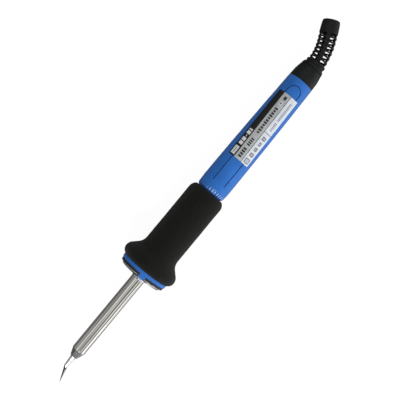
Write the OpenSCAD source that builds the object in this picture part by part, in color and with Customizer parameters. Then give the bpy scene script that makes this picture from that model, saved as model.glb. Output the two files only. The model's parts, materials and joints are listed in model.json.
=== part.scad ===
// Pencil soldering iron with a bent bit, a flared foam grip and a slotted strain relief.
// The tool's axis is X: the bit points to -X and the cord leaves at the +X end.
// The origin is on that axis, where the barrel's full diameter ends in front of the
// heat shield.
// The label faces +Z, the bit bends to -Y and the strain relief bends to +Y.

/* [Bit] */
// Radius of the bit's shank
shank_r = 1.5; // [1.2:0.05:1.6]
// How far the shank reaches in front of the origin before it bends
bend_reach = 54.8; // [53:0.2:57]
// Length of the bent, ground end
point_l = 8.6; // [6:0.2:10]
// Angle of the bent end to the axis
point_angle = 17.6; // [0:0.1:20]

/* [Barrel] */
// Outer radius of the barrel
barrel_r = 3.5; // [3.4:0.05:3.6]
// Wall thickness of the barrel
barrel_wall = 0.4; // [0.3:0.05:0.45]
// How far the barrel's nose reaches in front of the origin
nose_reach = 49.1; // [47.5:0.1:49.5]
// Length of the nose's cone
nose_cone = 3.9; // [3:0.1:5]

/* [Heat shield] */
// Distance from the origin to the heat shield's flat, on which its neck stands
neck_l = 1.8; // [1.5:0.1:2.5]
// Radius of the heat shield's rim
shield_r = 12.4; // [12:0.1:12.6]
// Radius of the circle that the shield's screws lie on
screw_circle_r = 8.3; // [8:0.1:8.8]
// Number of shield screws
shield_screw_count = 3; // [2:1:4]

/* [Handle] */
// Radius of the handle's front flange
flange_r = 12.9; // [12.7:0.1:13.2]
// Length from the heat shield's rim to the back of the blue handle
handle_l = 120.8; // [118:0.2:124]
// Largest radius of the blue handle
handle_r = 7.78; // [7.7:0.02:8]
// Radius of the blue handle where the collar begins
handle_back_r = 6.83; // [6.8:0.01:7]
// Radius of the bore along the handle
bore_r = 4.9; // [4.8:0.05:5]
// Number of ribs around the handle's front shoulder
shoulder_ribs = 30; // [12:1:36]

/* [Grip] */
// Outer radius of the grip along its straight part
grip_r = 9.75; // [9.4:0.05:10.4]
// Radius at the top of the grip's hand stop
stop_r = 15.04; // [14.6:0.02:15.6]
// Length from the heat shield's rim to the back of the grip
grip_l = 51.4; // [48:0.2:54]

/* [Strain relief] */
// Angle through which the strain relief bends
boot_angle = 26; // [10:1:40]
// Radius of that bend, along its centre line
boot_bend_r = 32; // [30:1:60]
// Outer radius of the strain relief's slotted part
boot_r = 4.62; // [4.5:0.02:5]
// Distance from one slot to the next
slot_pitch = 2.31; // [2.2:0.01:2.4]
// Width of a slot
slot_w = 1.5; // [1:0.05:1.5]
// Radius of the hole that the cord passes through
cord_hole_r = 2.5; // [2:0.1:2.8]

/* [Hidden] */
$fn = 64;
eps = 0.01;
// Radial clearance of a part that slides or turns in another
running_gap = 0.05;

// Bit and heater
nose_hole_r = shank_r + running_gap;
shank_tail_x = -11;
nose_back_x = -39;
barrel_in_r = barrel_r - barrel_wall;
barrel_seat_r = barrel_r - 0.2;
set_screw_x = -42.5;
set_screw_r = 1;
bobbin_r = 2.3;
bobbin_front_x = nose_back_x + 0.5;
bobbin_back_x = -9;
wire_r = 0.2;
wire_turns = 13;
mica_t = 0.12;
lead_y = 2;
lead_r = 0.35;
bead_back_x = -2;

// Heat shield, gasket and handle front, from front to back
shield_t = 0.5;
shield_dish = 1.2;
neck_r = barrel_r + 0.35;
neck_front_x = 0.2;
rim_x = neck_l + shield_dish;
gasket_front_x = rim_x + 0.3;
gasket_back_x = rim_x + 1.3;
flange_back_x = rim_x + 3.05;
key_w = 3.4;
key_foot_r = 10.9;
key_top_r = 12.6;
hub_r = 11.6;
hub_back_x = rim_x + 8.2;
hub_foot_x = rim_x + 13;
core_r = 7;
barrel_tail_x = rim_x + 9;
grip_back_x = rim_x + grip_l;
handle_back_x = rim_x + handle_l;
screw_r = 1;
screw_head_r = 1.6;
screw_head_h = 1.1;
screw_l = 9;

// Handle behind the grip
shoulder_x = grip_back_x + 2.7;
shoulder_front_r = 6.7;
shoulder_back_r = 7.64;
crown_x = grip_back_x + 5.6;
rib_r = 0.32;
panel_front_x = crown_x + 0.6;
panel_back_x = handle_back_x - 6.9;
panel_half_w = 3.33;
panel_line = 0.45;
panel_depth = 0.4;
label_front_x = handle_back_x - 48.6;
label_back_x = handle_back_x - 9.4;
label_half_angle = 45.75;
label_t = 0.12;

// Terminals, carrier and cord clamp
carrier_r = bore_r - 0.1;
carrier_front_x = handle_back_x - 24.8;
carrier_mid_x = handle_back_x - 10.8;
carrier_back_x = handle_back_x + 0.7;
lead_end_x = carrier_mid_x - 2;
terminal_r = 1.35;
terminal_hole_r = 0.75;
terminal_screw_r = 0.8;
terminal_screw_xs = [carrier_front_x + 3.5, carrier_mid_x - 3.5];
clamp_x = handle_back_x - 5.3;
clamp_screw_y = 3.55;
clamp_screw_r = 0.6;

// Collar and strain relief
spigot_r = 5.85;
spigot_l = 4.2;
collar_l = 8.2;
collar_back_r = 5.95;
boot_flange_r = 5.2;
boot_neck_r = 4.3;
boot_start_x = handle_back_x + 10.1;
boot_wall = 0.65;
boot_groove_r = 4.9;
boot_web_r = 4.32;
// The windows of a slot, each as its angle from the top towards -Y and its width
boot_slot_windows = [[-40, 2.5], [33, 3.2], [147, 3.2], [220, 2.5]];
boot_tail_l = 9.8;
boot_slots = 8;
first_slot = 0.7;
root_end = first_slot - slot_w / 2;
ring_t = slot_pitch - slot_w;
collar_end_x = handle_back_x + collar_l;
boot_arc_l = boot_bend_r * boot_angle * PI / 180;
boot_l = boot_arc_l + boot_tail_l;
end_cap_start = first_slot + (boot_slots - 1) * slot_pitch + slot_w / 2;

// ---- Shared shapes -------------------------------------------------------

// A rod from x0 to x1 along the X axis
module rod(x0, x1, r) {
    translate([x0, 0, 0])
        rotate([0, 90, 0])
            cylinder(h = x1 - x0, r = r);
}

// A cone from radius r0 at x0 to radius r1 at x1
module cone(x0, x1, r0, r1) {
    translate([x0, 0, 0])
        rotate([0, 90, 0])
            cylinder(h = x1 - x0, r1 = r0, r2 = r1);
}

// A tube from x0 to x1
module tube(x0, x1, r_out, r_in) {
    difference() {
        rod(x0, x1, r_out);
        rod(x0 - 1, x1 + 1, r_in);
    }
}

// A turned body around the X axis; each point is [x, radius]
module turned(points) {
    rotate([0, 90, 0])
        rotate_extrude()
            polygon([for (p = points) [p[1], p[0]]]);
}

// Points on an arc around [cx, cr], by angle from the +X direction
function arc(cx, cr, r, a0, a1, steps) =
    [for (i = [0:steps]) let (a = a0 + (a1 - a0) * i / steps) [cx + r * cos(a), cr + r * sin(a)]];

// A copy at each of the shield's screws, the first one at the top
module at_shield_screws() {
    for (i = [0:shield_screw_count - 1])
        rotate([i * 360 / shield_screw_count, 0, 0])
            translate([0, 0, screw_circle_r])
                children();
}

// Where distance a along the strain relief's centre line lies, as [x, y, angle]
function boot_place(a) =
    a < 0 ? [boot_start_x + a, 0, 0]
    : a < boot_arc_l ? boot_on_arc(a / boot_bend_r * 180 / PI)
    : boot_on_tail(a - boot_arc_l);
function boot_on_arc(t) =
    [boot_start_x + boot_bend_r * sin(t), boot_bend_r * (1 - cos(t)), t];
function boot_on_tail(l) =
    let (foot = boot_on_arc(boot_angle))
    [foot[0] + l * cos(boot_angle), foot[1] + l * sin(boot_angle), boot_angle];

// Puts children at distance a along the strain relief, with its local X axis along it
module on_boot(a) {
    p = boot_place(a);
    translate([p[0], p[1], 0])
        rotate([0, 0, p[2]])
            children();
}

// Outer radius of the strain relief at distance a
function boot_outer(a) = max(boot_r, boot_r + 0.95 - 0.22 * a);

// ---- Bit and heater ------------------------------------------------------

module soldering_tip() {
    waist_r = 0.97;
    color("gainsboro") {
        rod(-nose_reach, shank_tail_x, shank_r);
        cone(-bend_reach, -nose_reach, waist_r, shank_r - 0.05);
        translate([-bend_reach, 0, 0])
            sphere(r = waist_r);
        translate([-bend_reach, 0, 0])
            rotate([0, 0, point_angle])
                ground_point(waist_r);
    }
}

// The bent end: a slim cone with one long facet ground on its upper side, which
// runs out at the point and ends in a small step at the bend
module ground_point(root_r) {
    facet_roll = -35;
    facet_rise = -3;
    step_l = 0.8;
    difference() {
        cone(-point_l, 0, 0.1, root_r - 0.06);
        rotate([facet_roll, 0, 0])
            translate([-point_l, 0, 0.04])
                rotate([0, facet_rise, 0])
                    translate([-1, -2, 0])
                        cube([point_l + 1 - step_l, 4, 2]);
    }
}

module tip_set_screw() {
    slot_size = 0.35;
    color("dimgray")
        translate([set_screw_x, 0, -barrel_r - 0.05])
            difference() {
                cylinder(h = barrel_r - shank_r, r = set_screw_r);
                translate([-2, -slot_size / 2, -1])
                    cube([4, slot_size, 1 + slot_size]);
            }
}

module barrel_tube() {
    nose_front_r = 1.95;
    color("silver")
        difference() {
            union() {
                cone(-nose_reach, nose_cone - nose_reach, nose_front_r, barrel_r);
                rod(nose_cone - nose_reach - eps, 0, barrel_r);
                rod(-eps, barrel_tail_x, barrel_seat_r);
            }
            rod(-nose_reach - 1, nose_back_x + 1, nose_hole_r);
            rod(nose_back_x, barrel_tail_x + 1, barrel_in_r);
            translate([set_screw_x, 0, -barrel_r - 1])
                cylinder(h = barrel_r + 1, r = set_screw_r + running_gap);
        }
}

module heater_bobbin() {
    rim_r = barrel_in_r - mica_t - 0.1;
    rim_l = 0.8;
    color("ivory")
        difference() {
            union() {
                rod(bobbin_front_x, bobbin_back_x, bobbin_r);
                rod(bobbin_front_x, bobbin_front_x + rim_l, rim_r);
                rod(bobbin_back_x - rim_l, bobbin_back_x, rim_r);
            }
            rod(bobbin_front_x - 1, bobbin_back_x + 1, shank_r + 0.1);
        }
}

// The resistance wire: one helix, swept as rings of points around its path
module heater_winding() {
    sides = 6;
    steps_per_turn = 16;
    x0 = bobbin_front_x + 1.6;
    x1 = bobbin_back_x - 1.6;
    path_r = bobbin_r + wire_r + 0.07;
    steps = wire_turns * steps_per_turn;
    points = [
        for (i = [0:steps], k = [0:sides - 1])
            let (a = 360 * i / steps_per_turn, b = 360 * k / sides, r = path_r + wire_r * cos(b))
            [x0 + (x1 - x0) * i / steps + wire_r * sin(b), r * cos(a), r * sin(a)]
    ];
    faces = concat(
        [[for (k = [0:sides - 1]) k]],
        [for (i = [0:steps - 1], k = [0:sides - 1])
            let (n = (k + 1) % sides, j = i * sides)
            [j + k, j + sides + k, j + sides + n, j + n]],
        [[for (k = [0:sides - 1]) steps * sides + sides - 1 - k]]
    );
    color("darkgoldenrod")
        polyhedron(points = points, faces = faces);
}

module mica_sleeve() {
    color("tan")
        tube(bobbin_front_x, bobbin_back_x, barrel_in_r - 0.03, barrel_in_r - 0.03 - mica_t);
}

module lead_bead() {
    color("ivory")
        difference() {
            rod(bobbin_back_x + 0.1, bead_back_x, barrel_in_r - 0.1);
            for (side = [-1, 1])
                translate([0, side * lead_y, 0])
                    rod(bobbin_back_x - 1, bead_back_x + 1, lead_r + 0.1);
        }
}

module heater_lead(side) {
    color("lightsteelblue")
        translate([0, side * lead_y, 0])
            rod(bobbin_back_x + 0.1, lead_end_x, lead_r);
}

module lead_sleeve(side) {
    sleeve_r = 0.85;
    color("beige")
        translate([0, side * lead_y, 0])
            tube(bead_back_x + 0.2, carrier_front_x - 0.2, sleeve_r, lead_r + 0.1);
}

// ---- Heat shield and handle ----------------------------------------------

// Dished sheet with a neck on the barrel, a flat middle, a sloping wall and a narrow rim
module heat_shield() {
    flat_r = 11;
    wall_r = 12;
    rim_front_x = gasket_front_x - shield_t;
    hole_r = barrel_seat_r + 0.02;
    color("gainsboro")
        difference() {
            turned([
                [neck_front_x, hole_r],
                [neck_front_x, neck_r],
                [neck_l, neck_r],
                [neck_l, flat_r],
                [rim_front_x, wall_r],
                [rim_front_x, shield_r],
                [gasket_front_x, shield_r],
                [gasket_front_x, wall_r - 0.2],
                [neck_l + shield_t, flat_r - 0.2],
                [neck_l + shield_t, hole_r]
            ]);
            key_notch();
            at_shield_screws()
                rod(neck_l - 1, gasket_front_x + 1, screw_r + 0.1);
        }
}

// Space for the handle's key
module key_notch() {
    notch_w = key_w + 0.1;
    translate([neck_l - 1, -notch_w / 2, key_foot_r - 0.05])
        cube([gasket_back_x - neck_l + 2, notch_w, 3]);
}

// Fibre packing that fills the dish and shows as a dark line behind the shield's rim.
// A notch at its top takes the handle's key.
module insulating_gasket() {
    dish_r = 10.7;
    color("black")
        difference() {
            union() {
                rod(neck_l + shield_t, gasket_back_x, dish_r);
                rod(gasket_front_x, gasket_back_x, shield_r + 0.1);
            }
            rod(neck_l, gasket_back_x + 1, barrel_seat_r + running_gap);
            key_notch();
            at_shield_screws()
                rod(neck_l, gasket_back_x + 1, screw_r + 0.1);
        }
}

module shield_screws() {
    recess_w = 0.4;
    color("silver")
        at_shield_screws()
            difference() {
                union() {
                    rod(neck_l - screw_head_h, neck_l, screw_head_r);
                    rod(neck_l - eps, neck_l + screw_l, screw_r);
                }
                for (a = [0, 90])
                    rotate([a, 0, 0])
                        translate([neck_l - screw_head_h - 1, -recess_w / 2, -1])
                            cube([1.6, recess_w, 2]);
            }
}

module barrel_holder() {
    lead_hole_r = 1;
    color("dimgray")
        difference() {
            rod(gasket_back_x, barrel_tail_x + 1, bore_r - 0.02);
            rod(gasket_back_x - 1, barrel_tail_x, barrel_seat_r + 0.02);
            for (side = [-1, 1])
                translate([0, side * lead_y, 0])
                    rod(gasket_back_x, barrel_tail_x + 2, lead_hole_r);
        }
}

// Radius of the blue handle at x: crowned in front, then a slow taper
function handle_outer(x) =
    let (u = (x - crown_x) / (handle_back_x - crown_x), drop = handle_r - handle_back_r)
    handle_r - 0.36 * drop * u - 0.64 * drop * u * u;

function handle_back_points() =
    let (steps = 8)
    [for (i = [0:steps]) let (x = crown_x + (handle_back_x - crown_x) * i / steps) [x, handle_outer(x)]];

// The handle's outline under the grip: a hub behind the flange, then a straight core
function grip_seat() =
    [[flange_back_x, hub_r], [hub_back_x, hub_r], [hub_foot_x, core_r], [grip_back_x, core_r]];

module handle_solid() {
    turned(concat(
        [
            [gasket_back_x, 0],
            [gasket_back_x, flange_r - 0.2],
            [gasket_back_x + 0.2, flange_r],
            [flange_back_x, flange_r]
        ],
        grip_seat(),
        [
            [grip_back_x, shoulder_front_r],
            [shoulder_x, shoulder_back_r]
        ],
        handle_back_points(),
        [
            [handle_back_x, spigot_r],
            [handle_back_x + spigot_l, spigot_r],
            [handle_back_x + spigot_l, 0]
        ]
    ));
}

// The handle less the depth of the panel's outline
module handle_below_groove() {
    turned(concat(
        [[crown_x - 1, 0], [crown_x - 1, handle_r - panel_depth]],
        [for (p = handle_back_points()) [p[0], p[1] - panel_depth]],
        [[handle_back_x + 1, handle_back_r - panel_depth], [handle_back_x + 1, 0]]
    ));
}

// Outline of the panel: two straight lines that end in a half circle
module panel_outline(half_w) {
    translate([panel_front_x, -half_w])
        square([panel_back_x - panel_front_x, 2 * half_w]);
    translate([panel_back_x, 0])
        circle(r = half_w);
}

module panel_groove() {
    difference() {
        translate([0, 0, core_r - 2])
            linear_extrude(height = 4)
                difference() {
                    panel_outline(panel_half_w + panel_line / 2);
                    panel_outline(panel_half_w - panel_line / 2);
                    translate([panel_front_x - 1, -panel_half_w + panel_line])
                        square([2, 2 * (panel_half_w - panel_line)]);
                }
        handle_below_groove();
    }
}

// Fine ribs around the front shoulder, lying along its slope
module shoulder_rib_ring() {
    rib_l = 1.8;
    foot_l = 0.5;
    slope = atan((shoulder_back_r - shoulder_front_r) / (shoulder_x - grip_back_x));
    for (i = [0:shoulder_ribs - 1])
        rotate([i * 360 / shoulder_ribs, 0, 0])
            translate([grip_back_x + foot_l, 0, shoulder_front_r + foot_l * tan(slope)])
                rotate([0, 90 - slope, 0])
                    cylinder(h = rib_l, r = rib_r, $fn = 16);
}

// Key at the top of the flange that locates the gasket and the shield; its front slopes
// like the shield's wall
module locating_key() {
    nose_x = neck_l + 0.25;
    rotate([90, 0, 0])
        linear_extrude(height = key_w, center = true)
            polygon([
                [nose_x, key_foot_r],
                [nose_x, key_foot_r + 0.35],
                [rim_x, key_top_r - 0.2],
                [gasket_front_x, key_top_r],
                [gasket_back_x + 0.05, key_top_r],
                [gasket_back_x + 0.05, key_foot_r]
            ]);
}

module handle_body() {
    color("royalblue")
        difference() {
            union() {
                handle_solid();
                shoulder_rib_ring();
                locating_key();
            }
            rod(gasket_back_x - 1, handle_back_x + spigot_l + 1, bore_r);
            at_shield_screws()
                rod(gasket_back_x - 1, neck_l + screw_l + 1, screw_r + 0.02);
            panel_groove();
        }
}

// Foam sleeve: a rounded hand stop, a fillet, a straight grip and a rounded end
module grip_sleeve() {
    front_arc_r = 3.44;
    back_arc_r = 4.15;
    stop_x = rim_x + 6.2;
    fillet_r = 6;
    end_arc_r = 4.6;
    end_l = 3.3;
    slope_x = stop_x + back_arc_r * cos(45);
    slope_r = stop_r - back_arc_r * (1 - sin(45));
    corner_x = slope_x + slope_r - grip_r;
    fillet_x = corner_x + fillet_r * tan(22.5);
    end_angle = asin(end_l / end_arc_r);
    color("#1b1b1d")
        difference() {
            turned(concat(
                [[flange_back_x, 0]],
                arc(stop_x, stop_r - front_arc_r, front_arc_r, 156, 96, 5),
                arc(stop_x, stop_r - back_arc_r, back_arc_r, 90, 45, 4),
                arc(fillet_x, grip_r + fillet_r, fillet_r, 225, 270, 5),
                arc(grip_back_x - 0.4 - end_l, grip_r - end_arc_r, end_arc_r, 90, 90 - end_angle, 4),
                [[grip_back_x, grip_r - 2], [grip_back_x, 0]]
            ));
            turned(concat(
                [[flange_back_x - 1, 0], [flange_back_x - 1, hub_r]],
                grip_seat(),
                [[grip_back_x + 1, core_r], [grip_back_x + 1, 0]]
            ));
        }
}

// Thin label wrapped over the panel; it bridges the panel's grooves
module rating_label() {
    color("lightgray")
        intersection() {
            difference() {
                label_skin(label_t + 0.01);
                label_skin(0.01);
            }
            label_wedge();
        }
}

module label_skin(rise) {
    steps = 6;
    turned(concat(
        [[label_front_x, 0]],
        [for (i = [0:steps])
            let (x = label_front_x + (label_back_x - label_front_x) * i / steps)
            [x, handle_outer(x) + rise]],
        [[label_back_x, 0]]
    ));
}

module label_wedge() {
    reach = 20;
    rotate([90, 0, 90])
        linear_extrude(height = handle_back_x)
            polygon([
                [0, 0],
                [reach * sin(label_half_angle), reach * cos(label_half_angle)],
                [-reach * sin(label_half_angle), reach * cos(label_half_angle)]
            ]);
}

// ---- Terminals and cord clamp --------------------------------------------

module terminal_carrier() {
    color("#5a4632")
        difference() {
            union() {
                rod(carrier_front_x, carrier_mid_x, carrier_r);
                intersection() {
                    rod(carrier_mid_x - eps, carrier_back_x, carrier_r);
                    translate([carrier_mid_x - 1, -10, -10])
                        cube([20, 20, 10]);
                }
            }
            for (side = [-1, 1])
                translate([0, side * lead_y, 0])
                    rod(carrier_front_x - 1, carrier_mid_x + 1, terminal_r);
            at_terminal_screws()
                cylinder(h = 10, r = terminal_screw_r + 0.6);
            rod(carrier_mid_x, carrier_back_x + 1, cord_hole_r);
            at_clamp_screws()
                translate([0, 0, -3])
                    cylinder(h = 4, r = clamp_screw_r);
        }
}

// A copy above each terminal screw, on the terminals' centre plane
module at_terminal_screws() {
    for (side = [-1, 1], x = terminal_screw_xs)
        translate([x, side * lead_y, 0])
            children();
}

module at_clamp_screws() {
    for (side = [-1, 1])
        translate([clamp_x, side * clamp_screw_y, 0])
            children();
}

module terminal(side) {
    color("goldenrod")
        difference() {
            translate([0, side * lead_y, 0])
                tube(carrier_front_x + 0.5, carrier_mid_x - 0.5, terminal_r, terminal_hole_r);
            at_terminal_screws()
                cylinder(h = 10, r = terminal_screw_r);
        }
}

module terminal_screws() {
    head_h = 1;
    head_z = 1.9;
    color("silver")
        at_terminal_screws()
            translate([0, 0, lead_r])
                difference() {
                    union() {
                        cylinder(h = head_z, r = terminal_screw_r);
                        translate([0, 0, head_z - eps])
                            cylinder(h = head_h, r = terminal_screw_r + 0.4);
                    }
                    translate([-2, -0.15, head_z + head_h - 0.4])
                        cube([4, 0.3, 1]);
                }
}

// Saddle that presses the cord into the carrier's trough
module cord_clamp() {
    saddle_w = 4;
    saddle_top = 2.4;
    color("#5a4632")
        difference() {
            intersection() {
                translate([clamp_x - saddle_w / 2, -10, 0.3])
                    cube([saddle_w, 20, saddle_top - 0.3]);
                rod(carrier_mid_x, carrier_back_x, carrier_r);
            }
            rod(carrier_mid_x, carrier_back_x, cord_hole_r - 0.3);
            at_clamp_screws()
                cylinder(h = 10, r = clamp_screw_r);
            // Seats for the screw heads
            at_clamp_screws()
                translate([0, 0, 1.1])
                    cylinder(h = 10, r = clamp_screw_r + 0.5);
        }
}

module clamp_screws() {
    head_h = 0.9;
    color("silver")
        at_clamp_screws() {
            translate([0, 0, -2.6])
                cylinder(h = 3.75, r = clamp_screw_r);
            translate([0, 0, 1.1])
                cylinder(h = head_h, r = clamp_screw_r + 0.35);
        }
}

// ---- Collar and strain relief --------------------------------------------

module rear_collar() {
    wall_x = handle_back_x + spigot_l + 2.6;
    color("#202020")
        difference() {
            turned([
                [handle_back_x + 0.05, 0],
                [handle_back_x + 0.05, handle_back_r - 0.03],
                [handle_back_x + 4.1, handle_back_r - 0.17],
                [handle_back_x + 6, handle_back_r - 0.46],
                [collar_end_x, collar_back_r],
                [collar_end_x, 0]
            ]);
            rod(handle_back_x - 1, handle_back_x + spigot_l + 0.1, spigot_r + running_gap);
            rod(handle_back_x, wall_x, boot_flange_r + running_gap);
            rod(handle_back_x, collar_end_x + 1, boot_neck_r + running_gap);
        }
}

// The strain relief's root: a flange behind the collar's wall, a neck and a cone
module boot_root() {
    flange_x = handle_back_x + spigot_l + 0.1;
    flange_back = flange_x + 2.4;
    cone_x = collar_end_x + 0.3;
    color("#151515")
        difference() {
            union() {
                rod(flange_x, flange_back, boot_flange_r);
                rod(flange_back - eps, cone_x + eps, boot_neck_r);
                cone(cone_x, boot_start_x + root_end, boot_outer(cone_x - boot_start_x),
                     boot_outer(root_end));
            }
            rod(flange_x - 1, boot_start_x + 1, cord_hole_r);
        }
}

// A ring of the strain relief between two slots, centred at distance a
module boot_ring(a) {
    on_boot(a)
        tube(-ring_t / 2, ring_t / 2, boot_outer(a), boot_r - boot_wall);
}

// The four windows of the slot at distance a
module boot_windows(a) {
    on_boot(a)
        for (window = boot_slot_windows)
            rotate([window[0], 0, 0])
                translate([-slot_w / 2, -window[1] / 2, 0])
                    cube([slot_w, window[1], boot_r + 1]);
}

// Stretch of sleeve around the slot at distance a; front and back are how far it reaches
// into the rings
module boot_sleeve(a, front, back) {
    on_boot(a)
        tube(-slot_w / 2 - front, slot_w / 2 + back, boot_web_r, boot_r - boot_wall - 0.3);
}

// A sleeve at the foot, where the first slot is only a groove, then rings joined by
// webs between the windows. The last webs stop just short of the end cap, which can turn.
module boot_ribs() {
    sink = 0.15;
    last = boot_slots - 1;
    color("#151515") {
        tube(boot_start_x + root_end, boot_start_x + first_slot + slot_w / 2 + 2 * sink,
             boot_groove_r, cord_hole_r);
        for (i = [0:last - 1])
            boot_ring(first_slot + (i + 0.5) * slot_pitch);
        for (i = [1:last])
            difference() {
                boot_sleeve(first_slot + i * slot_pitch, sink, i == last ? -0.03 : sink);
                boot_windows(first_slot + i * slot_pitch);
            }
    }
}

// The solid end of the strain relief, with a rounded rim
module boot_end() {
    rim = 0.8;
    cap_l = boot_l - end_cap_start;
    end_r = boot_r - 0.5;
    color("#151515")
        on_boot(end_cap_start)
            difference() {
                turned(concat(
                    [[0, 0], [0, boot_r]],
                    arc(cap_l - rim, end_r - rim, rim, 75, 0, 4),
                    [[cap_l, 0]]
                ));
                rod(-1, cap_l + 1, cord_hole_r);
            }
}

// ---- Output --------------------------------------------------------------

soldering_tip();
tip_set_screw();
barrel_tube();
heater_bobbin();
heater_winding();
mica_sleeve();
lead_bead();
heater_lead(1);  // heater_lead_left
heater_lead(-1);  // heater_lead_right
lead_sleeve(1);  // lead_sleeve_left
lead_sleeve(-1);  // lead_sleeve_right
heat_shield();
insulating_gasket();
shield_screws();
barrel_holder();
handle_body();
grip_sleeve();
rating_label();
terminal_carrier();
terminal(1);  // terminal_left
terminal(-1);  // terminal_right
terminal_screws();
cord_clamp();
clamp_screws();
rear_collar();
boot_root();
boot_ribs();
boot_end();
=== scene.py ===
import json
import math

import bmesh
import bpy
from mathutils import Matrix, Vector, noise


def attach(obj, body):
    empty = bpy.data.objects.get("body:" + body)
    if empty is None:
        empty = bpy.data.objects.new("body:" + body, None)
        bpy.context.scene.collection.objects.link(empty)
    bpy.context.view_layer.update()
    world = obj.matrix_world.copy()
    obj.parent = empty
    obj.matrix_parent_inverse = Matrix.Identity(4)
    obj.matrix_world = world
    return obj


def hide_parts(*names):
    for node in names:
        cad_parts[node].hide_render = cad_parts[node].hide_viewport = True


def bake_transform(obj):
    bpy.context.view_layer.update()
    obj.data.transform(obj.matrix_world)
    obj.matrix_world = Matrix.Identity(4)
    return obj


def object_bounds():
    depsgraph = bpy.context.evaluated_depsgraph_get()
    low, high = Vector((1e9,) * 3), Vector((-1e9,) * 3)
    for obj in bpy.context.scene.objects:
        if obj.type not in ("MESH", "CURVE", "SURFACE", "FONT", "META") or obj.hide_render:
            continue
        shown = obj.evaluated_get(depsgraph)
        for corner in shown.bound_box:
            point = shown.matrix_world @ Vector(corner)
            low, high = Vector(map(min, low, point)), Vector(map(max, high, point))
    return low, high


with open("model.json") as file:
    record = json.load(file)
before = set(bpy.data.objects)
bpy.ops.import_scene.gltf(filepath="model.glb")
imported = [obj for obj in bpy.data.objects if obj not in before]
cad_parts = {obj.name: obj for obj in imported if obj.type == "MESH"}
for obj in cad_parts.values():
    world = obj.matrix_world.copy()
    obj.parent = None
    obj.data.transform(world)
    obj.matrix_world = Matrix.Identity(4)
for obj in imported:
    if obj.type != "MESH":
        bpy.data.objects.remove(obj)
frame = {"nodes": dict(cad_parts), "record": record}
cad_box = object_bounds()

MM = 0.001
NODES = frame["nodes"]


# ---- Sizes, in millimetres -----------------------------------------------


def node_box(name):
    """The low and the high corner of a CAD node that stays with the handle."""
    node = NODES[name]
    points = [node.matrix_world @ v.co / MM for v in node.data.vertices]
    return [Vector([pick(p[i] for p in points) for i in range(3)]) for pick in (min, max)]


# X runs along the iron from the bit to the cord, Z points to the label side and Y to the
# side that the strain relief bends to
BARREL_FRONT_X = node_box("barrel_tube")[0].x
SHIELD_BACK_X = node_box("heat_shield")[1].x
SHIELD_RIM_R = 11.05
BIT_BEND_X = -54.9

# The foam grip and its hand stop
GRIP_BACK_X, STOP_R, _ = node_box("grip_sleeve")[1]
GRIP_L = 48.35
GRIP_R = 9.75
GRIP_CORE_R = 7.06
STOP_X = GRIP_BACK_X - 45.2

# The blue handle: ribs on its shoulder, a crown behind them, a spigot inside the collar
SPIGOT_L = 4.2
CROWN_X, CROWN_R = GRIP_BACK_X + 5.6, 7.78
HANDLE_BACK_X, HANDLE_BACK_R = node_box("handle_body")[1].x - SPIGOT_L, 6.83
RIBS_X = (GRIP_BACK_X + 0.7, GRIP_BACK_X + 2.2)
RIB_COUNT = 30

# The label: its middle's angle from the top towards -Y and its angle around the handle, in
# degrees, each at its front and at its back
LABEL_FRONT_X, LABEL_BACK_X = (corner.x for corner in node_box("rating_label"))
LABEL_TURNS = (0.6, -7.0)
LABEL_ANGLES = (92.5, 96.5)
LABEL_T = 0.12

# The strain relief: a cone into a bent tube, with slots that leave rings and webs
BOOT_START_X = HANDLE_BACK_X + 10.1
BOOT_L = 24.32
BOOT_BEND_R = 32
BOOT_BEND = math.radians(26)
BORE_R = 2.5
BOOT_R = 4.62
CONE_RISE = 0.95
CONE_SLOPE = 0.22
RING_INNER_R = 3.97
WEB_R = 4.32
GROOVE_R = 4.9
SLOT_COUNT = 8
SLOT_PITCH = 2.31
SLOT_W = 1.5
FIRST_SLOT = 0.7


# ---- Camera and light ----------------------------------------------------


def place_camera():
    """Looks down on the iron, rolled so that the bit points to the lower left."""
    tilt, roll = math.radians(4.3), math.radians(50.36)
    toward = Vector((0, math.sin(tilt), math.cos(tilt)))
    across = Vector((0, math.cos(tilt), -math.sin(tilt)))
    along = Vector((1, 0, 0))
    right = along * math.cos(roll) - across * math.sin(roll)
    up = along * math.sin(roll) + across * math.cos(roll)
    target, distance = Vector((48.7, 1.17, 0)) * MM, 0.392
    data = bpy.data.cameras.new("camera")
    data.lens, data.sensor_width = 72.5, 36
    data.clip_start = 0.01
    data.dof.use_dof = False
    camera = bpy.data.objects.new("camera", data)
    bpy.context.scene.collection.objects.link(camera)
    turned = Matrix((right, up, toward)).transposed().to_4x4()
    camera.matrix_world = Matrix.Translation(target + toward * distance) @ turned
    bpy.context.scene.camera = camera


def area_light(name, spot, target, size, power):
    """A square lamp at spot that points at target."""
    data = bpy.data.lights.new(name, "AREA")
    data.shape = "SQUARE"
    data.size = size
    data.energy = power
    light = bpy.data.objects.new(name, data)
    bpy.context.scene.collection.objects.link(light)
    spot, target = Vector(spot), Vector(target)
    aim = (target - spot).to_track_quat("-Z", "X").to_matrix().to_4x4()
    light.matrix_world = Matrix.Translation(spot) @ aim


def add_node(tree, kind, inputs=None, **settings):
    """A shader node with its settings, and its inputs as values or as links."""
    made = tree.nodes.new(kind)
    for key, value in settings.items():
        setattr(made, key, value)
    for key, value in (inputs or {}).items():
        if isinstance(value, bpy.types.NodeSocket):
            tree.links.new(value, made.inputs[key])
        else:
            made.inputs[key].default_value = value
    return made


def mix_colors(tree, factor, a, b):
    """Colour a where factor is 0 and colour b where it is 1."""
    a, b = (c if isinstance(c, bpy.types.NodeSocket) else (*c, 1) for c in (a, b))
    return add_node(tree, "ShaderNodeMix", {0: factor, 6: a, 7: b}, data_type="RGBA").outputs[2]


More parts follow.
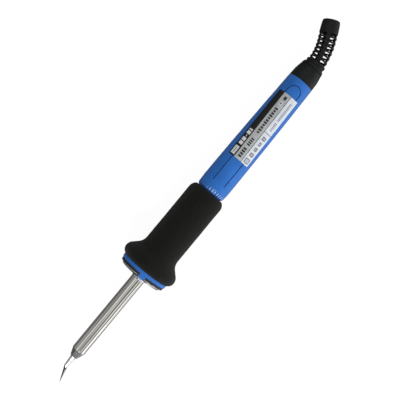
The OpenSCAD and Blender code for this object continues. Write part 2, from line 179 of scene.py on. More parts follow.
def ramp(tree, value, stops):
    """Grey levels by value, each stop as (value from -180 to 180, level from 0 to 1)."""
    share = add_node(tree, "ShaderNodeMapRange", {"Value": value, "From Min": -180, "From Max": 180})
    made = add_node(tree, "ShaderNodeValToRGB", {"Fac": share.outputs["Result"]})
    bar = made.color_ramp.elements
    while len(bar) < len(stops):
        bar.new(0.5)
    for element, (angle, level) in zip(bar, stops):
        element.position = (angle + 180) / 360
        element.color = (level, level, level, 1)
    return made.outputs["Color"]


# Levels around the tool as (angle in degrees from up towards -Y, level), at half strength
GLOSSY_TENT = ((-180, 0.08), (-95, 0.14), (-76, 0.17), (-50, 0.19), (-40, 0.26), (-34, 0.64), (-25, 0.62),
               (-21, 0.20), (-13, 0.17), (-9, 0.40), (-2, 0.40), (2, 0.18), (5, 0.26), (9, 0.22), (12, 0.06),
               (22, 0.06), (26, 0.22), (33, 0.26), (37, 0.50), (47, 0.50), (51, 0.12), (61, 0.12), (66, 0.27),
               (72, 0.32), (77, 0.90), (92, 0.90), (104, 0.66), (118, 0.12))
SOFT_TENT = ((-180, 0.12), (-92, 0.12), (-56, 0.14), (-40, 0.40), (40, 0.50), (56, 1.0), (90, 1.0),
             (100, 0.3))


def light_scene():
    """A light tent: a bright strip on the -Y side, a softer ceiling, a dim +Y side. Glossy
    rays see the tent's strips, everything else sees their soft glow."""
    area_light("rake", spot=(-0.19, -0.10, 0.315), target=(0.056, -0.002, 0.007), size=0.06, power=0.6)
    world = bpy.data.worlds.new("studio")
    world.use_nodes = True
    bpy.context.scene.world = world
    tree = world.node_tree
    place = add_node(tree, "ShaderNodeTexCoord").outputs["Generated"]
    away = add_node(tree, "ShaderNodeSeparateXYZ", {0: place}).outputs
    turn = add_node(tree, "ShaderNodeMath", {0: away["Y"], 1: away["Z"]}, operation="ARCTAN2").outputs[0]
    # The angle around the tool in degrees, from straight up towards -Y
    angle = add_node(tree, "ShaderNodeMath", {0: turn, 1: -180 / math.pi}, operation="MULTIPLY").outputs[0]
    # Towards the bit's end the strips are dimmer
    front = add_node(tree, "ShaderNodeMapRange", {
        "Value": away["X"], "From Min": -0.35, "From Max": -0.62, "To Min": 1.0, "To Max": 0.40}).outputs[0]
    strips = add_node(tree, "ShaderNodeVectorMath", {0: ramp(tree, angle, GLOSSY_TENT), "Scale": front},
                      operation="SCALE").outputs[0]
    rays = add_node(tree, "ShaderNodeLightPath").outputs
    lit = mix_colors(tree, rays["Is Glossy Ray"], ramp(tree, angle, SOFT_TENT), strips)
    seen = mix_colors(tree, rays["Is Camera Ray"], lit, (0.5, 0.5, 0.5))
    back = tree.nodes["Background"]
    tree.links.new(seen, back.inputs["Color"])
    back.inputs["Strength"].default_value = 2.0
    bpy.context.scene.view_settings.view_transform = "Standard"


# ---- Material helpers ----------------------------------------------------


class Paint:
    """A node material built around one Principled shader, in millimetres of the row frame."""

    def __init__(self, name, **values):
        self.material = bpy.data.materials.new(name)
        self.material.use_nodes = True
        self.tree = self.material.node_tree
        self.shader = self.tree.nodes["Principled BSDF"]
        for key, value in values.items():
            self.shader.inputs[key.replace("_", " ")].default_value = value
        self.place = self.node("ShaderNodeTexCoord").outputs["Object"]

    def node(self, kind, inputs=None, **settings):
        return add_node(self.tree, kind, inputs, **settings)

    def mm(self, stretch=(1, 1, 1)):
        """The row frame's coordinates in millimetres, times stretch."""
        scale = [s / MM for s in stretch]
        return self.node("ShaderNodeMapping", {"Vector": self.place, "Scale": scale}).outputs[0]

    def noise(self, scale, detail=3, rough=0.5, stretch=(1, 1, 1), distortion=0.0):
        made = self.node("ShaderNodeTexNoise", {
            "Vector": self.mm(stretch), "Scale": scale, "Detail": detail, "Roughness": rough,
            "Distortion": distortion})
        return made.outputs["Fac"]

    def cells(self, scale, stretch=(1, 1, 1)):
        made = self.node("ShaderNodeTexVoronoi", {"Vector": self.mm(stretch), "Scale": scale})
        return made.outputs["Distance"]

    def span(self, value, low, high, to_low=0.0, to_high=1.0):
        made = self.node("ShaderNodeMapRange", {
            "Value": value, "From Min": low, "From Max": high, "To Min": to_low, "To Max": to_high})
        return made.outputs["Result"]

    def math(self, operation, a, b=0.5):
        return self.node("ShaderNodeMath", {0: a, 1: b}, operation=operation).outputs[0]

    def mix(self, factor, a, b):
        return mix_colors(self.tree, factor, a, b)

    def axis(self, name):
        return self.node("ShaderNodeSeparateXYZ", {0: self.mm()}).outputs[name]

    def edges(self, radius):
        """1 on edges sharper than radius in mm, 0 on flat surfaces."""
        soft = self.node("ShaderNodeBevel", {"Radius": radius * MM}, samples=4)
        plain = self.node("ShaderNodeNewGeometry")
        dot = self.node("ShaderNodeVectorMath", {0: soft.outputs[0], 1: plain.outputs["Normal"]},
                        operation="DOT_PRODUCT")
        return self.span(dot.outputs["Value"], 0.995, 0.85)

    def crests(self, count):
        """1 on the crests of count ribs spaced around X, the first at the top, and 0 between them."""
        turn = self.math("ARCTAN2", self.axis("Y"), self.axis("Z"))
        wave = self.math("COSINE", self.math("MULTIPLY", turn, float(count)))
        return self.span(wave, 0.55, 0.95)

    def bump(self, height, strength, distance, under=None):
        values = {"Height": height, "Strength": strength, "Distance": distance * MM}
        if under is not None:
            values["Normal"] = under
        return self.node("ShaderNodeBump", values).outputs["Normal"]

    def soft_edges(self, radius):
        return self.node("ShaderNodeBevel", {"Radius": radius * MM}, samples=4).outputs[0]

    def set(self, **values):
        for key, value in values.items():
            self.tree.links.new(value, self.shader.inputs[key.replace("_", " ")])
        return self.material


# ---- Materials -----------------------------------------------------------


def drawn_steel():
    """The barrel: drawn lines along it, dark oxide from heat on its nose."""
    p = Paint("stainless_steel", Metallic=1.0)
    lines = p.noise(1.7, 3, 0.6, (0.012, 1, 1))
    fine = p.noise(9, 2, 0.5, (0.02, 1, 1))
    blotch = p.noise(0.45, 4, 0.6)
    ragged = p.math("ADD", p.axis("X"), p.span(blotch, 0.3, 0.7, -0.8, 0.8))
    heat = p.span(ragged, BARREL_FRONT_X + 4.7, BARREL_FRONT_X + 3.1)
    steel = p.mix(p.span(lines, 0.38, 0.62), (0.44, 0.43, 0.40), (0.86, 0.85, 0.81))
    oxide = p.mix(p.span(blotch, 0.42, 0.6), (0.36, 0.36, 0.35), (0.74, 0.73, 0.71))
    rough = p.math("ADD", p.span(fine, 0.3, 0.7, 0.06, 0.10), p.math("MULTIPLY", heat, 0.2))
    normal = p.bump(lines, 0.12, 0.03, p.bump(fine, 0.1, 0.015, p.soft_edges(0.08)))
    color = p.mix(p.math("MULTIPLY", heat, 0.85), steel, oxide)
    return p.set(Base_Color=color, Roughness=rough, Normal=normal)


def plated_bit():
    """The bit: satin plating; past the bend its end is painted dark grey, a painted shade."""
    p = Paint("plated_copper", Metallic=1.0)
    grind = p.noise(5, 3, 0.6, (0.2, 1, 1))
    blotch = p.noise(0.8, 4, 0.6)
    front = p.span(p.axis("X"), BIT_BEND_X, BIT_BEND_X - 0.7)
    plate = p.mix(p.span(blotch, 0.3, 0.7), (0.88, 0.88, 0.87), (0.97, 0.97, 0.96))
    # Painted shade: past the bend the plating's colour gives way to dark grey
    end_shade = p.mix(p.span(grind, 0.3, 0.7), (0.22, 0.22, 0.23), (0.38, 0.38, 0.38))
    rough = p.math("ADD", p.span(grind, 0.3, 0.7, 0.22, 0.36), p.math("MULTIPLY", front, -0.02))
    normal = p.bump(grind, 0.3, 0.03, p.soft_edges(0.05))
    return p.set(Base_Color=p.mix(front, plate, end_shade), Roughness=rough, Normal=normal)


def chrome():
    """Bright pressed sheet with faint spots; the back of its rim carries painted shade, almost black."""
    p = Paint("shield_chrome", Metallic=1.0)
    across = p.node("ShaderNodeVectorMath", {0: p.mm((0, 1, 1))}, operation="LENGTH").outputs["Value"]
    film = p.noise(0.5, 5, 0.6)
    fine = p.noise(12, 2)
    color = p.mix(p.span(film, 0.35, 0.7), (0.78, 0.78, 0.79), (0.62, 0.62, 0.64))
    # Painted shade: an almost black colour for the back of the rim, outside SHIELD_RIM_R
    black = p.mix(p.span(film, 0.35, 0.7), (0.020, 0.020, 0.036), (0.035, 0.035, 0.055))
    outside = p.span(across, SHIELD_RIM_R, SHIELD_RIM_R + 0.2)
    behind = p.span(p.axis("X"), SHIELD_BACK_X - 0.4, SHIELD_BACK_X - 0.3)
    color = p.mix(p.math("MULTIPLY", outside, behind), color, black)
    rough = p.span(film, 0.3, 0.7, 0.12, 0.26)
    return p.set(Base_Color=color, Roughness=rough, Normal=p.bump(fine, 0.1, 0.01, p.soft_edges(0.12)))


def zinc_steel():
    """The screws: turned steel under a thin zinc film."""
    p = Paint("screw_steel", Metallic=1.0)
    film = p.noise(3, 4, 0.6)
    turned = p.noise(14, 2, 0.5, (1, 0.2, 0.2))
    color = p.mix(p.span(film, 0.35, 0.7), (0.80, 0.80, 0.80), (0.55, 0.55, 0.57))
    return p.set(Base_Color=color, Roughness=p.span(turned, 0.3, 0.7, 0.18, 0.34),
                 Normal=p.bump(turned, 0.2, 0.02, p.soft_edges(0.08)))


def moulded(name, dark, light, rough, grain, strength, worn, specular, rib_highlight=None, groove_shade=None):
    """Moulded plastic: slow colour drift, a fine grain, softened edges with slight wear.
    The last two arguments are the colours of a painted highlight on the shoulder's rib crests and of painted
    shade in grooves and recesses."""
    p = Paint(name, Specular_IOR_Level=specular)
    drift = p.noise(0.12, 3, 0.5)
    skin = p.noise(grain, 3, 0.6)
    scuff = p.noise(0.9, 5, 0.7, (0.35, 1, 1), 0.4)
    color = p.mix(p.span(drift, 0.3, 0.7), dark, light)
    if groove_shade:
        # Painted shade: ambient occlusion darkens grooves and recesses
        shade = p.node("ShaderNodeAmbientOcclusion", {"Distance": 0.8 * MM}, samples=6).outputs["AO"]
        color = p.mix(p.span(shade, 0.95, 0.55, 0, 0.75), color, groove_shade)
    edges = p.math("MULTIPLY", p.edges(0.25), p.span(scuff, 0.4, 0.75, 0, 0.55))
    color = p.mix(edges, color, worn)
    if rib_highlight:
        x = p.axis("X")
        # Painted highlight on the crests of the shoulder's ribs, strongest towards -Y
        behind, ahead = p.span(x, RIBS_X[0], RIBS_X[0] + 0.3), p.span(x, RIBS_X[1] + 0.3, RIBS_X[1])
        highlight_mask = p.math("MULTIPLY", behind, ahead)
        highlight_mask = p.math("MULTIPLY", highlight_mask, p.span(p.axis("Y"), 3.6, 1.8, 0.15, 1.0))
        color = p.mix(p.math("MULTIPLY", highlight_mask, p.crests(RIB_COUNT)), color, rib_highlight)
    rough = p.math("ADD", p.span(skin, 0.3, 0.7, *rough), p.span(scuff, 0.55, 0.8, 0, 0.08))
    return p.set(Base_Color=color, Roughness=rough, Normal=p.bump(skin, strength, 0.03, p.soft_edges(0.12)))


def foam():
    """Closed-cell foam: tiny pores over a faint mottle, dull with a little sheen."""
    p = Paint("grip_foam", Specular_IOR_Level=0.10, Sheen_Weight=0.04, Sheen_Roughness=0.6)
    pores = p.cells(3.6)
    small = p.cells(7.5)
    mottle = p.noise(0.5, 4, 0.6)
    color = p.mix(p.span(mottle, 0.3, 0.7), (0.0034, 0.0038, 0.0029), (0.0062, 0.0067, 0.0052))
    # Painted shade: the pits of the pores are coloured darker
    color = p.mix(p.span(pores, 0.0, 0.14, 0.6, 0.0), color, (0.003, 0.003, 0.003))
    height = p.math("ADD", p.span(pores, 0.0, 0.22), p.span(small, 0.0, 0.2, 0, 0.4))
    return p.set(Base_Color=color, Roughness=p.span(mottle, 0.3, 0.7, 0.78, 0.92),
                 Normal=p.bump(height, 0.55, 0.06))


def rubber():
    """The strain relief: matt flexible moulding with faint flow marks."""
    p = Paint("boot_rubber", Specular_IOR_Level=0.22)
    flow = p.noise(0.6, 4, 0.6, (0.5, 1, 1))
    skin = p.noise(8, 3, 0.6)
    color = p.mix(p.span(flow, 0.3, 0.7), (0.0030, 0.0034, 0.0030), (0.0070, 0.0076, 0.0070))
    return p.set(Base_Color=color, Roughness=p.span(skin, 0.3, 0.7, 0.45, 0.62),
                 Normal=p.bump(skin, 0.35, 0.03, p.bump(flow, 0.2, 0.1)))


def fibre(name, dark, light, scale, stretch=(1, 1, 1), rough=(0.7, 0.9), metallic=0.0):
    """Pressed, woven or flaky stock: two tones of a stretched grain."""
    p = Paint(name, Metallic=metallic)
    grain = p.noise(scale, 4, 0.65, stretch)
    fleck = p.cells(scale * 1.5, stretch=stretch)
    color = p.mix(p.span(grain, 0.3, 0.7), dark, light)
    return p.set(Base_Color=p.mix(p.span(fleck, 0.0, 0.3, 0.3, 0.0), color, dark),
                 Roughness=p.span(grain, 0.3, 0.7, *rough), Normal=p.bump(grain, 0.4, 0.05))


def print_stock(name, dark, light, rough=(0.32, 0.45)):
    """A printed area of the label: foil or ink with fine grain and a faint cloud."""
    p = Paint(name, Specular_IOR_Level=0.25)
    grain = p.noise(6, 3, 0.6, (0.3, 1, 1))
    cloud = p.noise(0.35, 4, 0.6)
    color = p.mix(p.span(cloud, 0.3, 0.7), dark, light)
    return p.set(Base_Color=color, Roughness=p.span(grain, 0.3, 0.7, *rough),
                 Normal=p.bump(grain, 0.15, 0.01))


# ---- Mesh helpers --------------------------------------------------------


def new_mesh(name, verts, faces, smooth=math.radians(35)):
    """An object in the scene, shaded smooth except at edges sharper than the angle smooth."""
    mesh = bpy.data.meshes.new(name)
    mesh.from_pydata([tuple(v) for v in verts], [], faces)
    mesh.validate()
    mesh.update()
    mesh.shade_smooth()
    mesh.set_sharp_from_angle(angle=smooth)
    obj = bpy.data.objects.new(name, mesh)
    bpy.context.scene.collection.objects.link(obj)
    return obj


def rounded(points, radius, steps=4):
    """The closed polyline with each corner turned into a short curve."""
    out = []
    count = len(points)
    for i, p in enumerate(points):
        before, here, after = Vector(points[i - 1]), Vector(p), Vector(points[(i + 1) % count])
        to, away = before - here, after - here
        reach = min(radius, to.length * 0.45, away.length * 0.45)
        a, b = here + to.normalized() * reach, here + away.normalized() * reach
        for k in range(steps + 1):
            t = k / steps
            out.append(a * (1 - t) ** 2 + here * (2 * t * (1 - t)) + b * t * t)
    return out


def refined(points, step):
    """The closed polyline with no piece longer than step."""
    out = []
    for i, p in enumerate(points):
        here, after = Vector(p), Vector(points[(i + 1) % len(points)])
        pieces = max(1, math.ceil((after - here).length / step))
        out += [here.lerp(after, k / pieces) for k in range(pieces)]
    return out


def lathe(name, points, segments, warp=None):
    """A ring-shaped solid around X from a closed outline of (x, radius) in millimetres."""
    verts, count = [], len(points)
    for k in range(segments):
        a = 2 * math.pi * k / segments
        for x, r in points:
            v = Vector((x, r * math.sin(a), r * math.cos(a)))
            verts.append((warp(v) if warp else v) * MM)
    faces = []
    for k in range(segments):
        n = (k + 1) % segments
        for i in range(count):
            j = (i + 1) % count
            faces.append((k * count + i, k * count + j, n * count + j, n * count + i))
    obj = new_mesh(name, verts, faces)
    fix_normals(obj)
    return obj


def fix_normals(obj):
    """Turn every face outwards."""
    bm = bmesh.new()
    bm.from_mesh(obj.data)
    bmesh.ops.recalc_face_normals(bm, faces=bm.faces)
    bm.to_mesh(obj.data)
    bm.free()


def apply_modifiers(obj):
    """Replace the object's mesh with the result of its modifiers."""
    deps = bpy.context.evaluated_depsgraph_get()
    mesh = bpy.data.meshes.new_from_object(obj.evaluated_get(deps))
    obj.modifiers.clear()
    obj.data = mesh


def arc(cx, cr, r, a0, a1, steps):
    """Points (x, radius) around (cx, cr), with the angles in degrees from +X outwards."""
    turns = [math.radians(a0 + (a1 - a0) * i / steps) for i in range(steps + 1)]
    return [(cx + r * math.cos(turn), cr + r * math.sin(turn)) for turn in turns]


# ---- Pieces --------------------------------------------------------------


def handle_outer(x):
    """Radius of the blue handle at x behind its crown."""
    share = (x - CROWN_X) / (HANDLE_BACK_X - CROWN_X)
    drop = CROWN_R - HANDLE_BACK_R
    return CROWN_R - 0.36 * drop * share - 0.64 * drop * share * share


def build_grip():
    """The foam sleeve, with a rounded hand stop, soft edges and a slightly uneven skin."""
    front, front_r, back_r = GRIP_BACK_X - GRIP_L, 13.12, 7.75
    lip_r, crown_r, fillet_r, end_r = 3.44, 4.15, 6, 4.6
    slope = math.radians(45)
    slope_x = STOP_X + crown_r * math.cos(slope)
    slope_r = STOP_R - crown_r * (1 - math.sin(slope))
    fillet_x = slope_x + slope_r - GRIP_R + fillet_r * math.tan(slope / 2)
    outline = [(front, front_r)]
    outline += arc(STOP_X, STOP_R - lip_r, lip_r, 156, 96, 8)
    outline += arc(STOP_X, STOP_R - crown_r, crown_r, 90, 45, 8)
    outline += arc(fillet_x, GRIP_R + fillet_r, fillet_r, 225, 270, 8)
    outline += arc(GRIP_BACK_X - 3.7, GRIP_R - end_r, end_r, 90, 44, 7)
    # Inside, the sleeve fits the handle's core and the cone and the flange in front of it
    inner_r, core_x, flange_x, flange_r = GRIP_CORE_R + 0.1, 16, 11.3, 11.68
    outline += [(GRIP_BACK_X, back_r), (GRIP_BACK_X, inner_r), (core_x, inner_r), (flange_x, flange_r),
                (front, flange_r)]
    outline = refined(rounded(outline, 0.45, 3), 0.8)

    def uneven(v):
        across = Vector((0, v.y, v.z))
        if across.length < GRIP_CORE_R + 0.5:
            return v
        dip = noise.noise(v * 0.16) * 0.05 + noise.noise(v * 0.7) * 0.025
        return v + across.normalized() * (dip - 0.06)

    grip = lathe("foam_grip", outline, 160, uneven)
    grip.data.materials.append(foam())
    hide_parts("grip_sleeve")
    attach(grip, "handle")


def boot_place(a):
    """The strain relief's centre line at distance a, as (point, angle)."""
    bend_l = BOOT_BEND_R * BOOT_BEND
    angle = min(max(a, 0), bend_l) / BOOT_BEND_R
    bent = Vector((math.sin(angle), 1 - math.cos(angle), 0)) * BOOT_BEND_R
    straight = min(a, 0) + max(a - bend_l, 0)
    onward = Vector((math.cos(angle), math.sin(angle), 0)) * straight
    return Vector((BOOT_START_X, 0, 0)) + bent + onward, angle


def boot_point(a, turn, r):
    """turn is the angle around the centre line, 0 towards the bend's inside (+Y) and 90 up."""
    middle, angle = boot_place(a)
    side = Vector((-math.sin(angle), math.cos(angle), 0))
    return (middle + side * (r * math.cos(turn)) + Vector((0, 0, r * math.sin(turn)))) * MM


def boot_sections():
    """The strain relief's cross-sections as (distance, inner radius, outer radius, slotted),
    where slotted says whether the stretch in front of the section is cut by windows."""

    def cone(a):
        return max(BOOT_R, BOOT_R + CONE_RISE - CONE_SLOPE * a)

    # The flange under the collar, the neck and the foot
    sections = [(a, BORE_R, r, False) for a, r in (
        (-5.8, 5.2), (-4.6, 5.2), (-3.4, 5.2), (-3.3, 4.3), (-1.7, 4.3), (-1.6, 5.92), (-0.8, 5.75))]
    # The slots with a ring after each one; the first slot is a groove that doesn't go through
    for i in range(SLOT_COUNT):
        start = FIRST_SLOT + i * SLOT_PITCH - SLOT_W / 2
        end = start + SLOT_W
        slotted = i > 0
        inner, floor_r = (RING_INNER_R, WEB_R) if slotted else (BORE_R, GROOVE_R)
        sections.append((start, inner, cone(start) - 0.08, False))
        sections += [(start + SLOT_W * part, inner, floor_r, slotted) for part in (0.15, 0.85)]
        sections.append((end, RING_INNER_R, cone(end) - 0.08, slotted))
        if i < SLOT_COUNT - 1:
            ring = end + (SLOT_PITCH - SLOT_W) / 2
            sections.append((ring, RING_INNER_R, cone(ring) + 0.02, False))
    # The tail, with a rounded end, in place of the last slot's far edge
    tail = sections.pop()[0]
    sections.append((tail, 3.8, BOOT_R - 0.06, True))
    for a, less in ((tail + 0.5, 0), (tail + 4.2, 0.1),
                    (BOOT_L - 0.8, 0.28), (BOOT_L - 0.35, 0.42), (BOOT_L - 0.08, 0.7)):
        sections.append((a, BORE_R, BOOT_R - less, False))
    sections.append((BOOT_L, BORE_R + 0.1, 3.6, False))
    return sections


def build_boot():
    """One moulding: flange, neck, cone, rings joined by four rows of webs, and the tail."""
    around = 120
    # The windows of a slot, as the angles from +Y through +Z between which each one lies
    windows = ((31, 68), (99, 147), (213, 261), (292, 329))
    sections = boot_sections()
    last = len(sections) - 2

    def solid(i, k):
        """Whether there is material between sections i and i + 1 at step k around."""
        turn = (k % around + 0.5) * 360 / around
        return not sections[i + 1][3] or not any(low < turn < high for low, high in windows)

    def at(i, k, out):
        return (i * around + k % around) * 2 + out

    verts = [boot_point(a, 2 * math.pi * k / around, radius)
             for a, inner, outer, _ in sections for k in range(around) for radius in (inner, outer)]
    faces = []
    for i in range(last + 1):
        for k in range(around):
            if not solid(i, k):
                continue
            faces.append((at(i, k, 1), at(i + 1, k, 1), at(i + 1, k + 1, 1), at(i, k + 1, 1)))
            faces.append((at(i, k, 0), at(i, k + 1, 0), at(i + 1, k + 1, 0), at(i + 1, k, 0)))
            if i == 0 or not solid(i - 1, k):
                faces.append((at(i, k, 0), at(i, k, 1), at(i, k + 1, 1), at(i, k + 1, 0)))
            if i == last or not solid(i + 1, k):
                faces.append((at(i + 1, k, 0), at(i + 1, k + 1, 0), at(i + 1, k + 1, 1), at(i + 1, k, 1)))
            if not solid(i, k - 1):
                faces.append((at(i, k, 0), at(i + 1, k, 0), at(i + 1, k, 1), at(i, k, 1)))
            if not solid(i, k + 1):
                faces.append((at(i, k + 1, 0), at(i, k + 1, 1), at(i + 1, k + 1, 1), at(i + 1, k + 1, 0)))
    # Points inside the windows belong to no face and are left out
    used = sorted({v for f in faces for v in f})
    number = {v: n for n, v in enumerate(used)}
    boot = new_mesh("strain_relief", [verts[v] for v in used], [[number[v] for v in f] for f in faces])
    fix_normals(boot)
    bevel = boot.modifiers.new("edges", "BEVEL")
    bevel.width = 0.13 * MM
    bevel.segments = 2
    bevel.limit_method = "ANGLE"
    bevel.angle_limit = math.radians(40)
    apply_modifiers(boot)
    boot.data.shade_smooth()
    boot.data.materials.append(rubber())
    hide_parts("boot_root", "boot_ribs", "boot_end")
    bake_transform(boot)


# Inks of the label by material index
SILVER, BLACK, GREY, INK, WHITE, SHADE = range(6)


def mark_row(start, pitch, count, width, low, high, ink):
    """Equal marks along the label, each as (from, to, low, high, ink)."""
    return [(start + i * pitch, start + i * pitch + width, low, high, ink) for i in range(count)]


def label_marks():
    """The print as (from, to, low, high, ink), in shares of the label's length and width. It is
    three rows of plain marks that aren't letters; a later mark covers an earlier one."""
    black_end, grey_end, rule = 0.285, 0.605, 0.022
    marks = [(0, 1, 0, black_end, BLACK), (0, 1, black_end, grey_end, GREY), (0, 1, grey_end, 1, SILVER),
             (0, 1, grey_end, grey_end + rule, INK), (0.466, 0.473, grey_end, 1, INK)]
    # The black row: a light box with a dark bar in it, then light blocks
    marks += [(0.018, 0.132, 0.05, 0.23, WHITE), (0.04, 0.11, 0.125, 0.155, BLACK)]
    marks += mark_row(0.165, 0.057, 2, 0.045, 0.07, 0.235, WHITE)
    marks += [(0.279, 0.309, 0.14, 0.17, WHITE), (0.321, 0.366, 0.07, 0.235, WHITE),
              (0.378, 0.398, 0.07, 0.235, WHITE)]
    # The grey row: dark blocks in groups, some taller than others, and two small boxes
    marks += mark_row(0.035, 0.036, 4, 0.026, 0.375, 0.515, INK)
    marks += mark_row(0.209, 0.029, 4, 0.020, 0.375, 0.515, INK)
    for i in range(11):
        tall = 0.045 + 0.010 * ((i * 5) % 3)
        marks += mark_row(0.40 + 0.036 * i, 0, 1, 0.026, 0.435 - tall, 0.445 + tall, INK)
    marks += [(0.835, 0.885, 0.39, 0.50, SILVER), (0.848, 0.872, 0.42, 0.47, INK),
              (0.915, 0.962, 0.40, 0.52, INK)]
    # The light row: a frame and four blocks on the left, fine marks in two groups on the right
    marks += [(0.02, 0.088, 0.69, 0.93, SHADE), (0.034, 0.074, 0.74, 0.88, SILVER),
              (0.046, 0.062, 0.78, 0.84, SHADE)]
    for i, tall in enumerate((0.19, 0.16, 0.12, 0.19)):
        u = 0.122 + 0.082 * i
        marks.append((u, u + 0.050, 0.81 - tall / 2, 0.81 + tall / 2, SHADE))
        marks.append((u + 0.020, u + 0.030, 0.81 - tall / 4, 0.81 + tall / 4, SILVER))
    marks += mark_row(0.52, 0.021, 6, 0.012, 0.75, 0.86, SHADE)
    marks += mark_row(0.667, 0.021, 13, 0.012, 0.75, 0.86, SHADE)
    return marks


def label_point(u, v, rise):
    """A point of the label, which is wrapped over the handle slightly askew."""
    middle, around = (front + (back - front) * u for front, back in (LABEL_TURNS, LABEL_ANGLES))
    turn = math.radians(middle + (v - 0.5) * around)
    x = LABEL_FRONT_X + (LABEL_BACK_X - LABEL_FRONT_X) * u
    r = handle_outer(x) + 0.01 + rise
    return Vector((x, -r * math.sin(turn), r * math.cos(turn))) * MM


def build_label():
    """The rating label: a thin foil, cut into cells along the edges of its marks."""
    marks = label_marks()

    def cuts(low, high, pieces):
        """Where the foil is cut in one direction: at its marks' edges and in equal pieces."""
        edges = [mark[side] for mark in marks for side in (low, high)]
        return sorted({round(cut, 6) for cut in edges + [i / pieces for i in range(pieces + 1)]})

    us, vs = cuts(0, 1, 40), cuts(2, 3, 24)
    verts = [label_point(u, v, rise) for rise in (0, LABEL_T) for u in us for v in vs]
    rows, top = len(vs), len(us) * len(vs)

    def ink_at(u, v):
        return [ink for u0, u1, v0, v1, ink in marks if u0 < u < u1 and v0 < v < v1][-1]

    faces, inks = [], []
    for i in range(len(us) - 1):
        for j in range(rows - 1):
            a = i * rows + j
            faces.append((a, a + 1, a + rows + 1, a + rows))
            faces.append((top + a, top + a + rows, top + a + rows + 1, top + a + 1))
            inks += [SILVER, ink_at((us[i] + us[i + 1]) / 2, (vs[j] + vs[j + 1]) / 2)]
    long_edges = [(i * rows + j, rows) for i in range(len(us) - 1) for j in (0, rows - 1)]
    short_edges = [(i * rows + j, 1) for j in range(rows - 1) for i in (0, len(us) - 1)]
    for a, step in long_edges + short_edges:
        faces.append((a, a + step, top + a + step, top + a))
        inks.append(SILVER)
    label = new_mesh("label_foil", verts, faces, math.radians(50))
    for face, ink in zip(label.data.polygons, inks):
        face.material_index = ink
    fix_normals(label)
    for stock in (
        print_stock("label_silver", (0.44, 0.47, 0.52), (0.54, 0.57, 0.61)),
        print_stock("label_black", (0.006, 0.006, 0.007), (0.012, 0.012, 0.012), (0.34, 0.46)),
        print_stock("label_grey", (0.29, 0.30, 0.30), (0.38, 0.39, 0.39)),
        print_stock("label_ink", (0.018, 0.018, 0.02), (0.035, 0.035, 0.04), (0.3, 0.45)),
        print_stock("label_white", (0.50, 0.51, 0.50), (0.62, 0.63, 0.62)),
        print_stock("label_shade", (0.13, 0.14, 0.15), (0.18, 0.19, 0.20)),
    ):
        label.data.materials.append(stock)
    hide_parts("rating_label")
    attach(label, "handle")


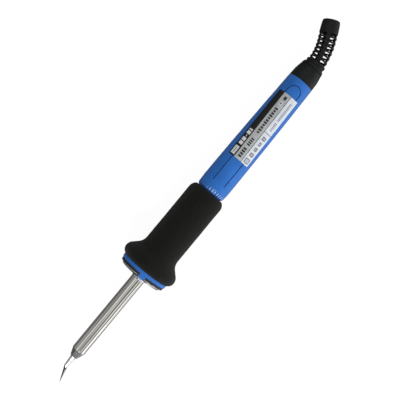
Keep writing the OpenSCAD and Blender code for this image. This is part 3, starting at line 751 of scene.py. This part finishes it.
def finish_nodes():
    """Every CAD node gets the material of its slot."""
    looks = {
        "stainless_steel": drawn_steel(),
        "plated_copper": plated_bit(),
        "shield_chrome": chrome(),
        "screw_steel": zinc_steel(),
        # The blue plastic's last two colours are a painted highlight on the shoulder's ribs and painted shade
        # in its grooves
        "blue_plastic": moulded("blue_plastic", (0.014, 0.104, 0.375), (0.018, 0.122, 0.420), (0.3, 0.42),
                                7, 0.12, worn=(0.10, 0.28, 0.62), specular=0.22,
                                rib_highlight=(0.36, 0.55, 0.82), groove_shade=(0.006, 0.03, 0.14)),
        "black_plastic": moulded("black_plastic", (0.0045, 0.0058, 0.0055), (0.0080, 0.0098, 0.0094),
                                 (0.42, 0.55), 6, 0.3, worn=(0.05, 0.05, 0.05), specular=0.2),
        "gasket_fibre": fibre("gasket_fibre", (0.008, 0.008, 0.012), (0.02, 0.02, 0.028), 3, (3, 1, 1)),
        "grip_foam": foam(),
        "boot_rubber": rubber(),
        "label_foil": print_stock("label_stock", (0.60, 0.61, 0.63), (0.72, 0.73, 0.75), (0.3, 0.42)),
        "ceramic": fibre("ceramic", (0.78, 0.75, 0.67), (0.88, 0.86, 0.80), 2),
        "resistance_wire": fibre("resistance_wire", (0.22, 0.20, 0.18), (0.42, 0.38, 0.33), 4, (0.3, 1, 1),
                                 (0.35, 0.6), 1.0),
        "mica": fibre("mica", (0.45, 0.36, 0.25), (0.68, 0.58, 0.44), 1.2, (0.4, 1, 1), (0.25, 0.5)),
        "glass_fibre": fibre("glass_fibre", (0.66, 0.62, 0.50), (0.86, 0.83, 0.74), 5, (1, 2, 2)),
        "phenolic": fibre("phenolic", (0.09, 0.05, 0.03), (0.19, 0.11, 0.07), 2.5, (1, 1, 1), (0.4, 0.6)),
        "terminal_brass": fibre("terminal_brass", (0.62, 0.44, 0.17), (0.80, 0.62, 0.30), 4, (0.2, 1, 1),
                                (0.25, 0.42), 1.0),
    }
    slots = {part["node"]: part["material_slot"] for part in frame["record"]["subparts"]}
    for name, node in NODES.items():
        node.data.materials.clear()
        node.data.materials.append(looks[slots[name]])


def build_floor():
    """A white sheet under the iron, which glows to the eye. In the tool's reflections it is dim
    except towards -Y."""
    low = cad_box[0][2] - 0.2 * MM
    reach, cells = 2.5, 24
    steps = [-reach + 2 * reach * i / cells for i in range(cells + 1)]
    corners = [i * (cells + 1) + j for i in range(cells) for j in range(cells)]
    floor = new_mesh("floor", [(x, y, low) for x in steps for y in steps],
                     [(a, a + cells + 1, a + cells + 2, a + 1) for a in corners])
    p = Paint("floor_white", Specular_IOR_Level=0.1)
    cloud = p.noise(0.01, 3)
    p.set(Base_Color=p.mix(cloud, (0.90, 0.90, 0.90), (0.93, 0.93, 0.93)),
          Roughness=p.span(cloud, 0, 1, 0.8, 0.9))
    rays = p.node("ShaderNodeLightPath").outputs
    glow = p.node("ShaderNodeEmission", {"Strength": 1.02})
    sideways = p.span(p.axis("Y"), -18, -45, 0.16, 1.1)
    ahead = p.span(p.axis("X"), -120, -90, 0.1, 1.0)
    dim = p.node("ShaderNodeEmission", {"Strength": p.math("MULTIPLY", sideways, ahead)})
    lit = p.node("ShaderNodeMixShader", {0: p.math("MULTIPLY", rays["Is Camera Ray"], 0.93),
                                         1: p.shader.outputs[0], 2: glow.outputs[0]})
    both = p.node("ShaderNodeMixShader", {0: rays["Is Glossy Ray"], 1: lit.outputs[0], 2: dim.outputs[0]})
    p.tree.links.new(both.outputs[0], p.tree.nodes["Material Output"].inputs["Surface"])
    floor.data.materials.append(p.material)


place_camera()
build_floor()
light_scene()
finish_nodes()
build_grip()
build_label()
build_boot()
